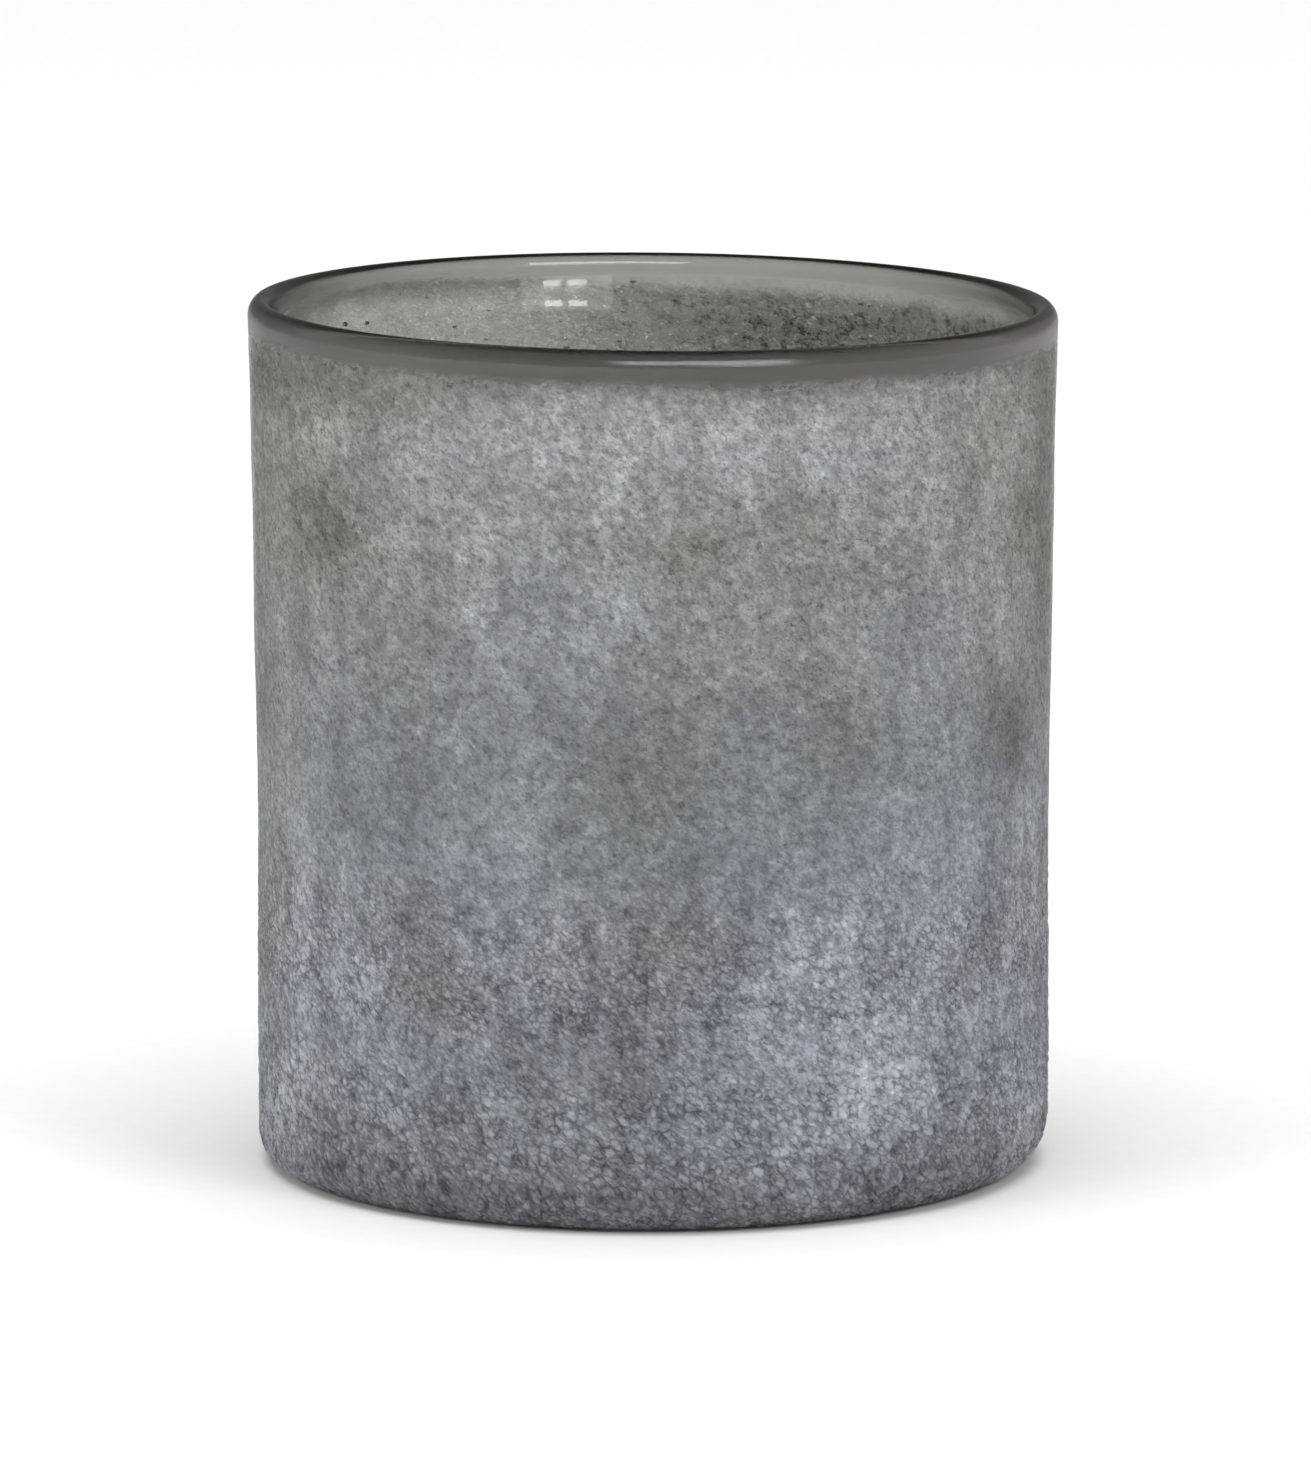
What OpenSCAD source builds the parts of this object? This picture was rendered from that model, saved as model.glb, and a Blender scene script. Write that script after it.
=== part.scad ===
// Hand-blown glass cylinder vase with a clear lip and a frosted outer skin.
// Origin at the centre of the foot, +Z up, millimetres.

/* [Body] */
// Height from the foot to the top of the lip
vase_height = 174.5; // [140:0.5:220]
// Outside diameter near the foot, over the frosted skin
body_diameter = 159; // [120:1:200]
// Thickness of the clear glass wall, under the skin
wall_thickness = 5.7; // [4.5:0.1:7]
// How far the wall has leaned out by the time it reaches the lip
mouth_flare = 1.6; // [0:0.1:2.5]

/* [Lip] */
// Thickness of the rounded lip
lip_thickness = 5; // [3.5:0.1:6]
// Height over which the lip rounds over on its outside
lip_shoulder = 3.5; // [2:0.1:3.8]
// Height of the clear, fire-polished lip above the skin
lip_height = 5.5; // [4:0.5:12]
// Height over which the inside leans out towards the lip
inner_lean_length = 11; // [8:1:20]

/* [Foot] */
// Radius of the rounded heel, over the skin
heel_radius = 9; // [6:0.5:14]
// Thickness of the floor inside, above the table
floor_thickness = 8; // [6:0.5:10]
// Radius of the rounded corner between floor and wall inside
floor_corner = 8; // [4:0.5:10]
// Height of the joint between the base and the wall
base_height = 20; // [20:1:26]
// Width of the flat ring that the vase stands on
foot_ring = 21; // [10:1:25]
// Depth of the hollow inside that ring
punt_depth = 2.2; // [1.5:0.1:3]
// Radius of the polished pontil mark in the middle of the hollow
pontil_radius = 11; // [8:0.5:16]
// Thickness of the pontil mark
pontil_thickness = 1.2; // [0.6:0.1:1.4]

/* [Frosted skin] */
// Thickness of the fused skin
skin_thickness = 0.5; // [0.3:0.05:0.8]
// Height of the coarse crackled zone round the foot
crackle_height = 42; // [30:1:60]

/* [Hidden] */
$fn = 180;
wall_steps = 12;
lean_steps = 12;
arc_steps = 16;
body_radius = body_diameter / 2;
lip_z = vase_height - lip_height;
bead_radius = lip_thickness / 2;
bead_z = vase_height - bead_radius;
shoulder_z = vase_height - lip_shoulder;
lean_z = bead_z - inner_lean_length;
inner_lean = wall_thickness + skin_thickness - lip_thickness;
heel_centre_r = body_radius - heel_radius;
glass_heel_radius = heel_radius - skin_thickness;
skin_end_angle = 80;
punt_radius = heel_centre_r - foot_ring;
pontil_seat_radius = pontil_radius + 1.5;
pontil_edge = 0.4;
corner_z = floor_thickness + floor_corner;
corner_r = inner_r(corner_z) - floor_corner;

// Radii of the three surfaces of revolution at height z
function outer_r(z) =
    let (rise = max(0, z - base_height) / (vase_height - base_height))
    body_radius + mouth_flare * rise * rise;
function glass_r(z) = outer_r(z) - skin_thickness;
function inner_r(z) =
    let (turn = 180 * min(1, max(0, bead_z - z) / inner_lean_length))
    glass_r(z) - wall_thickness + inner_lean * (1 + cos(turn)) / 2;

// Heights from one to another, either way up
function levels(from, to, steps) = [for (i = [0:steps]) from + (to - from) * i / steps];

// Points on an arc in the section plane, between two angles, as wide and as tall as given
function oval(r, z, wide, tall, from, to) =
    [for (a = levels(from, to, arc_steps)) [r + wide * cos(a), z + tall * sin(a)]];
function arc(r, z, radius, from, to) = oval(r, z, radius, radius, from, to);

// Points along each surface of the wall, between two heights
function outer_line(from, to, steps) = [for (z = levels(from, to, steps)) [outer_r(z), z]];
function glass_line(from, to, steps) = [for (z = levels(from, to, steps)) [glass_r(z), z]];
function inner_line(from, to, steps) = [for (z = levels(from, to, steps)) [inner_r(z), z]];

// Shallow dome from the pontil seat down to the foot ring
function punt_line() =
    let (run = punt_radius - pontil_seat_radius)
    [for (t = levels(1 / arc_steps, 1, arc_steps - 1))
        [pontil_seat_radius + run * t, punt_depth * (1 - t * t)]];

module turned(points) {
    rotate_extrude() polygon(points);
}

// Clear lip: rounded over the top, softly outside and more tightly inside
module rim_lip() {
    bead_r = outer_r(bead_z) - bead_radius;
    arc_margin = 90 / arc_steps;
    color([0.30, 0.31, 0.29, 0.6])
    turned(concat(
        [[outer_r(lip_z), lip_z]],
        oval(bead_r, shoulder_z, bead_radius, lip_shoulder, 0, 90 - arc_margin),
        arc(bead_r, bead_z, bead_radius, 90, 180 - arc_margin),
        inner_line(bead_z, lip_z, lean_steps)
    ));
}

// Blown wall of smoky glass between base and lip
module glass_wall() {
    color([0.36, 0.37, 0.35, 0.5])
    turned(concat(
        [[glass_r(base_height), base_height]],
        glass_line(crackle_height, lip_z, wall_steps),
        inner_line(lip_z, lean_z, lean_steps),
        inner_line(lean_z - inner_lean_length, base_height, wall_steps)
    ));
}

// Thick floor, rounded heel and ground foot ring
module glass_base() {
    color([0.33, 0.34, 0.33, 0.55])
    turned(concat(
        [[0, punt_depth], [pontil_seat_radius, punt_depth]],
        punt_line(),
        [[heel_centre_r, 0]],
        arc(heel_centre_r, heel_radius, glass_heel_radius, -90, 0),
        [[glass_r(base_height), base_height], [inner_r(base_height), base_height]],
        arc(corner_r, corner_z, floor_corner, 0, -90),
        [[0, floor_thickness]]
    ));
}

// Polished scar where the pontil rod was broken off
module pontil_mark() {
    low = punt_depth - pontil_thickness;
    color([0.42, 0.43, 0.41, 0.6])
    turned([
        [0, low],
        [pontil_radius - pontil_edge, low],
        [pontil_radius, low + pontil_edge],
        [pontil_radius, punt_depth],
        [0, punt_depth]
    ]);
}

// Fine-grained frosted skin on the wall
module frost_skin() {
    color([0.56, 0.58, 0.58])
    turned(concat(
        outer_line(crackle_height, lip_z, wall_steps),
        glass_line(lip_z, crackle_height, wall_steps)
    ));
}

// Coarse crackled skin round the heel, ending just above the table
module crackle_skin() {
    color([0.47, 0.49, 0.53])
    turned(concat(
        arc(heel_centre_r, heel_radius, heel_radius, -skin_end_angle, 0),
        [[outer_r(base_height), base_height], [outer_r(crackle_height), crackle_height]],
        [[glass_r(crackle_height), crackle_height], [glass_r(base_height), base_height]],
        arc(heel_centre_r, heel_radius, glass_heel_radius, 0, -skin_end_angle)
    ));
}

rim_lip();
glass_wall();
glass_base();
pontil_mark();
frost_skin();
crackle_skin();
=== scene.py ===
"""The looks of a hand-blown, frosted glass cylinder vase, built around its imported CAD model."""

import math

import bpy
import numpy as np
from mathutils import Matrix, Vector


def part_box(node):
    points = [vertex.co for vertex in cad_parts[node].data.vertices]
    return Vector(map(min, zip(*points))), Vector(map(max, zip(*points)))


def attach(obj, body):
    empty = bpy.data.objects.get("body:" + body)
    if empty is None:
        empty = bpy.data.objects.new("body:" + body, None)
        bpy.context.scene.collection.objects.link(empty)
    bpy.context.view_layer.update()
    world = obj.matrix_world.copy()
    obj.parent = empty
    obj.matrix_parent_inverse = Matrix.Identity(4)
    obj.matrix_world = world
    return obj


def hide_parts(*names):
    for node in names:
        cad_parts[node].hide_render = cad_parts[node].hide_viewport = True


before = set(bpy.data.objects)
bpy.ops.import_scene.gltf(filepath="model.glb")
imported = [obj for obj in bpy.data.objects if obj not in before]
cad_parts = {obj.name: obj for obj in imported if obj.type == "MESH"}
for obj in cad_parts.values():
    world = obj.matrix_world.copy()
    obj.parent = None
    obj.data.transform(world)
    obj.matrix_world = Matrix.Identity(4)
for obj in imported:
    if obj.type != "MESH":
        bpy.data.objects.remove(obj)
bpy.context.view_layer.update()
MM = 0.001

# ---------------------------------------------------------------- sizes, from the CAD model
LIP_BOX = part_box("rim_lip")
CRACKLE_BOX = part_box("crackle_skin")
PONTIL_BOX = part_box("pontil_mark")

HEIGHT = LIP_BOX[1][2]
LIP_Z = LIP_BOX[0][2]
BASE_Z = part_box("glass_base")[1][2]
BODY_R = 79.5 * MM
MOUTH_FLARE = 1.6 * MM
SKIN = 0.5 * MM
WALL = 5.7 * MM
LIP = 5.0 * MM
CRACKLE_TOP = CRACKLE_BOX[1][2]
FLOOR_Z = 8.0 * MM
FLOOR_CORNER = 8.0 * MM
HEEL_R = 9.0 * MM
FOOT_RING = 21.0 * MM
PUNT_R = BODY_R - HEEL_R - FOOT_RING
PUNT_DEPTH = PONTIL_BOX[1][2]
PONTIL_LOW = PONTIL_BOX[0][2]
PONTIL_R = PONTIL_BOX[1][0]
BEAD_R = LIP / 2
BEAD_Z = HEIGHT - BEAD_R
SHOULDER = 3.5 * MM
LEAN_LENGTH = 11 * MM

# ---------------------------------------------------------------- how a hand-made piece differs
HEEL_UNEVEN = 1.6 * MM
HEEL_POWER = 2.4
RIM_TILT = 0.8 * MM
TILT_FROM = 0.5 * HEIGHT
OUT_OF_ROUND = 0.0012
WAVINESS = 0.0010
FROST_FADE = 5.0 * MM
FROST_WAVE = 0.45 * MM
FROST_PATCH = 1.8 * MM
FROST_PATCH_AT = math.radians(130)
FROST_PATCH_WIDE = math.radians(30)
SKIN_GAP = 0.03 * MM
SKIN_EDGE = 0.03 * MM
HEEL_END = -0.88
# How smoky and satiny the lip is, from its lower edge to its crown, and its painted shade: a darkened crown
# at the front and the back, and a darker matte coat on the outer lip at its sides
SMOKE_FROM = LIP_Z - 5 * MM
SMOKE_FULL = LIP_Z + 2 * MM
CROWN_DEEP = 1.25 * MM
# How strongly the crown is darkened at the front and the back, as painted shade
CROWN_PAINTED_SHADE = 0.85
SATIN_INNER = 0.08
SATIN_FRONT = 0.10
# Painted shade: the darker matte coat on the outer lip at its sides
PAINTED_SHADE_SIDES = 0.74
SATIN_AND_SHADE_LESS = 0.85
# How finely the meshes are built
CLOSE_ROWS_FROM = LIP_Z - 8 * MM
TURNS_GLASS = 384
TURNS_SKIN = 640


def flare(z):
    """How much wider than the body the outside is at height z."""
    return MOUTH_FLARE * (np.maximum(0, z - BASE_Z) / (HEIGHT - BASE_Z)) ** 2


def heel_radius(theta):
    """The heel is blown a little rounder on one side than on the other."""
    return HEEL_R + HEEL_UNEVEN * np.cos(theta)


def frost_line(theta):
    """Height of the wavy upper edge of the frost."""
    waves = 0.5 * np.sin(2 * theta + 0.4) + 0.3 * np.sin(5 * theta + 2.0) + 0.2 * np.sin(11 * theta)
    patch = np.exp(-((theta - FROST_PATCH_AT) / FROST_PATCH_WIDE) ** 2)
    return LIP_Z + FROST_WAVE * waves + FROST_PATCH * patch


def smooth_step(t):
    """0 below 0, 1 above 1, and a soft rise between."""
    t = np.clip(t, 0, 1)
    return t * t * (3 - 2 * t)


def frost_cover(theta, z):
    """1 where the skin has its full thickness, falling to 0 at the frost line."""
    return smooth_step((frost_line(theta) - z) / FROST_FADE)


def outer_wall(theta, z):
    """Radius, height, outward normal and run of the outside of the skin at height z."""
    slope = 2 * MOUTH_FLARE * np.maximum(0, z - BASE_Z) / (HEIGHT - BASE_Z) ** 2
    length = np.sqrt(1 + slope ** 2)
    return BODY_R + flare(z), z, 1 / length, -slope / length, z


def outer_heel(theta, turn):
    """The same on the heel, where turn goes from 0 at its top to 1 at the table."""
    radius = heel_radius(theta)
    angle = turn * math.pi / 2
    power = 2 / HEEL_POWER
    c, s = np.cos(angle), np.sin(angle)
    r = BODY_R - radius + radius * c ** power
    z = radius - radius * s ** power
    nr, nz = c ** (2 - power), -(s ** (2 - power))
    length = np.sqrt(nr ** 2 + nz ** 2)
    return r, z, nr / length, nz / length, radius * (1 - angle)


def inner_radius(z):
    """Radius of the inside of the wall at height z, leaning out towards the lip."""
    turn = math.pi * np.clip((BEAD_Z - z) / LEAN_LENGTH, 0, 1)
    lean = WALL + SKIN - LIP
    return BODY_R + flare(z) - SKIN - WALL + lean * (1 + np.cos(turn)) / 2


def hand_made(points):
    """Tilts the rim and puts the body slightly out of round, the same way for every piece."""
    x, y, z = points[..., 0], points[..., 1], points[..., 2]
    theta = np.arctan2(y, x)
    high = np.clip((z - TILT_FROM) / (HEIGHT - TILT_FROM), 0, None) ** 2
    swell = 1 + OUT_OF_ROUND * np.sin(2 * theta + 0.8) * (z / HEIGHT) + WAVINESS * np.sin(z * 75 + 2 * theta)
    return np.stack([x * swell, y * swell, z - RIM_TILT * np.cos(theta) * high], axis=-1)


# ---------------------------------------------------------------- node helpers
def add(tree, kind, inputs=None, **settings):
    """Adds one node to a shader or geometry tree. inputs maps sockets to values or to outputs."""
    node = tree.nodes.new(kind)
    for name, value in settings.items():
        setattr(node, name, value)
    for key, value in (inputs or {}).items():
        if isinstance(value, bpy.types.NodeSocket):
            tree.links.new(value, node.inputs[key])
        else:
            node.inputs[key].default_value = value
    return node


def maths(tree, operation, a, b=0.0, clamp=False):
    """One sum on two values, each a number or an output."""
    return add(tree, "ShaderNodeMath", {0: a, 1: b}, operation=operation, use_clamp=clamp).outputs[0]


def times(tree, first, *others):
    """The product of all the values."""
    for other in others:
        first = maths(tree, "MULTIPLY", first, other)
    return first


def plus(tree, first, *others):
    """The sum of all the values."""
    for other in others:
        first = maths(tree, "ADD", first, other)
    return first


def grey_of(tree, value):
    """A grey as light as value."""
    return add(tree, "ShaderNodeCombineColor", {0: value, 1: value, 2: value}).outputs[0]


def read(tree, name, output="Fac"):
    """A value that is stored at the points of the mesh."""
    return add(tree, "ShaderNodeAttribute", attribute_name=name).outputs[output]


def axes(tree, vector):
    """The three parts of a vector."""
    return add(tree, "ShaderNodeSeparateXYZ", {0: vector}).outputs


def spread(tree, value, low, high, to_low=0.0, to_high=1.0):
    """Maps value from low..high to another range, smoothly and clamped."""
    node = add(tree, "ShaderNodeMapRange", {0: value, 1: low, 2: high, 3: to_low, 4: to_high})
    node.interpolation_type = "SMOOTHSTEP"
    return node.outputs[0]


def blend_colours(tree, factor, a, b, mode="MIX"):
    """Mixes two colours, each a tuple or an output."""
    node = add(tree, "ShaderNodeMix", {0: factor, 6: a, 7: b}, data_type="RGBA", blend_type=mode)
    return node.outputs[2]


def scaled(tree, vector, x, y, z):
    """The vector stretched along each axis."""
    factors = {0: vector, 1: (x, y, z)}
    return add(tree, "ShaderNodeVectorMath", factors, operation="MULTIPLY").outputs[0]


def twisted(tree, vector, turns):
    """Turns the pattern about the vase's axis as it rises, so that its grain leans."""
    angle = times(tree, axes(tree, vector)[2], turns)
    node = add(tree, "ShaderNodeVectorRotate", {"Vector": vector, "Angle": angle})
    node.rotation_type = "Z_AXIS"
    return node.outputs[0]


def clouding(tree, vector, size, detail=2.0, roughness=0.5, distortion=0.0):
    """Noise from 0 to 1 whose blotches are about size metres across."""
    inputs = {"Vector": vector, "Scale": 1 / size, "Detail": detail, "Roughness": roughness,
              "Distortion": distortion}
    return add(tree, "ShaderNodeTexNoise", inputs).outputs[0]


def around_one(tree, value, contrast):
    """A factor that varies about 1 as value goes from 0 to 1."""
    return plus(tree, 1 - contrast / 2, times(tree, value, contrast))


def cell_edges(tree, vector, size):
    """Distance to the nearest border between cells of that size, 0 on a border."""
    inputs = {"Vector": vector, "Scale": 1 / size, "Randomness": 1.0}
    node = add(tree, "ShaderNodeTexVoronoi", inputs, feature="DISTANCE_TO_EDGE")
    return node.outputs["Distance"]


# ---------------------------------------------------------------- patterns of the frost
PEBBLE_SIZES = (1.1 * MM, 1.35 * MM, 1.6 * MM)
CRACKLE_RELIEF = 0.52 * MM
GRAIN_RELIEF = 0.10 * MM
LUMP_RELIEF = 0.35 * MM


def pebbles(tree, wrap, size):
    """Rounded, wrinkled grains of the crackled coat: 0 in the cracks, 1 on the grains."""
    inputs = {"Vector": wrap, "Scale": 0.9 / size, "Detail": 3.0}
    wobble = add(tree, "ShaderNodeTexNoise", inputs).outputs["Color"]
    shift = scaled(tree, wobble, 1.5 * size, 1.5 * size, 1.5 * size)
    moved = add(tree, "ShaderNodeVectorMath", {0: wrap, 1: shift}, operation="ADD").outputs[0]
    cells = spread(tree, cell_edges(tree, moved, 1.15 * size), 0.0, 0.26)
    wrinkles = spread(tree, clouding(tree, wrap, 1.35 * size, 2.0, 0.6), 0.28, 0.72)
    return plus(tree, times(tree, cells, 0.5), times(tree, wrinkles, 0.5))


def crackle(tree, wrap):
    """Pebbles that grow towards the foot, drawn out on a slight slant."""
    z = axes(tree, wrap)[2]
    slanted = twisted(tree, wrap, 5.0)
    grains = [pebbles(tree, slanted, size) for size in PEBBLE_SIZES]
    low = {0: spread(tree, z, 46 * MM, 24 * MM), 2: grains[1], 3: grains[2]}
    lower = add(tree, "ShaderNodeMix", low, data_type="FLOAT").outputs[0]
    high = {0: spread(tree, z, 92 * MM, 58 * MM), 2: grains[0], 3: lower}
    return add(tree, "ShaderNodeMix", high, data_type="FLOAT").outputs[0]


def leaning_grain(tree, wrap):
    """Fine grain of the frost, drawn out on a slight slant."""
    return clouding(tree, twisted(tree, wrap, 3.5), 2.5 * MM, 3.0, 0.85)


def pits(tree, wrap):
    """Pinholes and thin places in the frost, 1 where there is least of it."""
    holes = clouding(tree, twisted(tree, wrap, 5.0), 1.15 * MM, 2.0, 0.65)
    return spread(tree, holes, 0.52, 0.32)


def lumps(tree, wrap):
    """Soft unevenness of the blown wall under the frost."""
    return clouding(tree, scaled(tree, wrap, 1, 1, 0.6), 9 * MM, 2.0, 0.5)


def relief(tree, wrap):
    """Height of the frost's surface in metres, before any fading."""
    z = axes(tree, wrap)[2]
    coarse = times(tree, crackle(tree, wrap), spread(tree, z, 85 * MM, 35 * MM, 0.1, 1.0), CRACKLE_RELIEF)
    fine = times(tree, leaning_grain(tree, wrap), GRAIN_RELIEF)
    return plus(tree, coarse, fine, times(tree, lumps(tree, wrap), LUMP_RELIEF))


def sampled(points, pattern):
    """The values of a pattern at points, worked out by geometry nodes so that shaders match them."""
    mesh = bpy.data.meshes.new("samples")
    mesh.vertices.add(len(points))
    mesh.vertices.foreach_set("co", np.asarray(points, dtype=np.float32).ravel())
    holder = bpy.data.objects.new("samples", mesh)
    bpy.context.scene.collection.objects.link(holder)
    tree = bpy.data.node_groups.new("samples", "GeometryNodeTree")
    tree.interface.new_socket("Geometry", in_out="INPUT", socket_type="NodeSocketGeometry")
    tree.interface.new_socket("Geometry", in_out="OUTPUT", socket_type="NodeSocketGeometry")
    source = add(tree, "NodeGroupInput").outputs[0]
    place = add(tree, "GeometryNodeInputPosition").outputs[0]
    store = add(tree, "GeometryNodeStoreNamedAttribute", {"Geometry": source, "Name": "value"})
    tree.links.new(pattern(tree, place), store.inputs["Value"])
    add(tree, "NodeGroupOutput", {0: store.outputs[0]})
    holder.modifiers.new("samples", "NODES").node_group = tree
    seen = holder.evaluated_get(bpy.context.evaluated_depsgraph_get())
    values = np.zeros(len(points), dtype=np.float32)
    seen.data.attributes["value"].data.foreach_get("value", values)
    bpy.data.objects.remove(holder)
    bpy.data.meshes.remove(mesh)
    bpy.data.node_groups.remove(tree)
    return values


# ---------------------------------------------------------------- mesh helpers
def grid_faces(rows, turns, start=0):
    """Quads of a closed band of rows x turns points, in the order that faces outwards going up."""
    i, j = np.meshgrid(np.arange(rows - 1), np.arange(turns), indexing="ij")
    k = (j + 1) % turns
    quads = np.stack([i * turns + j, i * turns + k, (i + 1) * turns + k, (i + 1) * turns + j], axis=-1)
    return start + quads.reshape(-1, 4)


def end_caps(rows, turns):
    """Triangles that close the ends of a band, round the two middle points that come after it."""
    middle = rows * turns
    last = middle - turns
    j = np.arange(turns)
    k = (j + 1) % turns
    return np.concatenate([
        np.stack([np.full_like(j, middle), k, j], axis=-1),
        np.stack([np.full_like(j, middle + 1), last + j, last + k], axis=-1),
    ])


def make_object(name, points, quads, triangles=None, attributes=None, flat=()):
    """A smooth mesh object from arrays, with its per-point attributes and its flat faces, if any."""
    faces = quads.tolist() + ([] if triangles is None else triangles.tolist())
    mesh = bpy.data.meshes.new(name)
    mesh.from_pydata(points.tolist(), [], faces)
    smooth = np.ones(len(mesh.polygons), dtype=bool)
    smooth[list(flat)] = False
    mesh.polygons.foreach_set("use_smooth", smooth)
    for key, values in (attributes or {}).items():
        values = np.asarray(values, dtype=np.float32)
        if values.ndim == 2:
            mesh.attributes.new(key, "FLOAT_VECTOR", "POINT").data.foreach_set("vector", values.ravel())
        else:
            mesh.attributes.new(key, "FLOAT", "POINT").data.foreach_set("value", values)
    mesh.validate()
    made = bpy.data.objects.new(name, mesh)
    bpy.context.scene.collection.objects.link(made)
    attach(made, "root")
    return made


def turned_points(r, z, theta):
    """Points in space from radius and height arrays."""
    return np.stack([r * np.cos(theta), r * np.sin(theta), z * np.ones_like(theta)], axis=-1)


# ---------------------------------------------------------------- pieces
def glass_profile(theta):
    """Rows of (radius, height) round the section, from under the middle to the floor's middle.

    The two arrays after them say how far each row belongs to the lip, and to the crown of the lip.
    """
    rows = []
    # The hollow underneath, the foot ring and the heel
    for t in np.linspace(0.06, 1, 14):
        rows.append((PUNT_R * t, PUNT_DEPTH * (1 - t * t)))
    for t in np.linspace(0, 1, 6)[1:-1]:
        rows.append((PUNT_R + (BODY_R - heel_radius(theta) - PUNT_R) * t, 0))
    for turn in np.linspace(1, 0, 22)[:-1]:
        r, z, nr, nz, _ = outer_heel(theta, turn)
        rows.append((r - nr * SKIN, z - nz * SKIN))
    # The outside of the wall, with closer rows near the lip
    low = heel_radius(theta)
    for t in np.linspace(0, 1, 46)[:-1]:
        rows.append(outer_glass(theta, low + (CLOSE_ROWS_FROM - low) * t))
    for z in np.linspace(CLOSE_ROWS_FROM, HEIGHT - SHOULDER, 26):
        rows.append(outer_glass(theta, z))
    # The rounded lip, then the inside of the wall down to the floor
    bead_middle = BODY_R + flare(BEAD_Z) - BEAD_R
    for angle in np.linspace(0, math.pi, 40)[1:-1]:
        tall = SHOULDER if angle < math.pi / 2 else BEAD_R
        rows.append((bead_middle + BEAD_R * math.cos(angle), HEIGHT - tall + tall * math.sin(angle)))
    for z in np.linspace(BEAD_Z, BEAD_Z - LEAN_LENGTH, 26):
        rows.append((inner_radius(z), z))
    corner_z = FLOOR_Z + FLOOR_CORNER
    for z in np.linspace(BEAD_Z - LEAN_LENGTH, corner_z, 34)[1:]:
        rows.append((inner_radius(z), z))
    corner_r = inner_radius(corner_z) - FLOOR_CORNER
    for angle in np.linspace(0, math.pi / 2, 14)[1:]:
        rows.append((corner_r + FLOOR_CORNER * math.cos(angle), corner_z - FLOOR_CORNER * math.sin(angle)))
    for t in np.linspace(1, 0.06, 12)[1:]:
        rows.append((corner_r * t, FLOOR_Z))
    heights = np.array([np.mean(z) for r, z in rows])
    lip = smooth_step((heights - SMOKE_FROM) / (SMOKE_FULL - SMOKE_FROM))
    crown = smooth_step((heights - HEIGHT + CROWN_DEEP) / CROWN_DEEP)
    return rows, lip, crown


def outer_glass(theta, z):
    """Outside of the glass under the skin, or of the clear lip above the frost line."""
    r, z, nr, nz, _ = outer_wall(theta, z)
    depth = SKIN * frost_cover(theta, z)
    return r - nr * depth, z - nz * depth


# Seeds that the photo shows: bearing in degrees, depth below the rim and size in millimetres
LARGE_SEEDS = [(146.7, 10.8, 0.62), (141.0, 11.3, 0.5)]
SEED_COUNT = 130


def bubbles():
    """Small seeds trapped in the glass: ellipsoids whose faces point inwards, as hollows do."""
    rng = np.random.default_rng(11)
    points, quads, triangles = [], [], []
    turns, rings = 10, 5
    for i in range(SEED_COUNT):
        theta = rng.uniform(0, 2 * math.pi)
        z = HEIGHT - 4 * MM - abs(rng.normal(0, 26)) * MM
        z = max(z, 14 * MM)
        inside, outside = inner_radius(z), BODY_R + flare(z) - SKIN
        size = rng.uniform(0.10, 0.34) * MM
        depth = rng.uniform(0.25, 0.75)
        stretch = rng.uniform(1.0, 2.4)
        if i < len(LARGE_SEEDS):
            bearing, below, wide = LARGE_SEEDS[i]
            theta = math.radians(bearing)
            z = HEIGHT - below * MM
            size, stretch, depth = wide * MM, 1.5, 0.3
        r = inside + (outside - inside) * depth
        out = np.array([math.cos(theta), math.sin(theta), 0])
        along = np.array([-math.sin(theta), math.cos(theta), 0])
        start = sum(len(p) for p in points)
        ring_angles = np.linspace(0, math.pi, rings + 2)[1:-1]
        around = np.arange(turns) * 2 * math.pi / turns
        body = [
            r * out + np.array([0, 0, z]) + size * (
                math.sin(a) * (math.cos(b) * out + stretch * math.sin(b) * along)
                + math.cos(a) * np.array([0, 0, 0.8]))
            for a in ring_angles for b in around
        ]
        tips = [r * out + np.array([0, 0, z + 0.8 * size]), r * out + np.array([0, 0, z - 0.8 * size])]
        points.append(np.array(body + tips))
        quads.append(grid_faces(rings, turns, start))
        top, bottom = start + rings * turns, start + rings * turns + 1
        last = start + (rings - 1) * turns
        for j in range(turns):
            k = (j + 1) % turns
            triangles.append((top, start + k, start + j))
            triangles.append((bottom, last + j, last + k))
    return np.concatenate(points), np.concatenate(quads), np.array(triangles)


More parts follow.
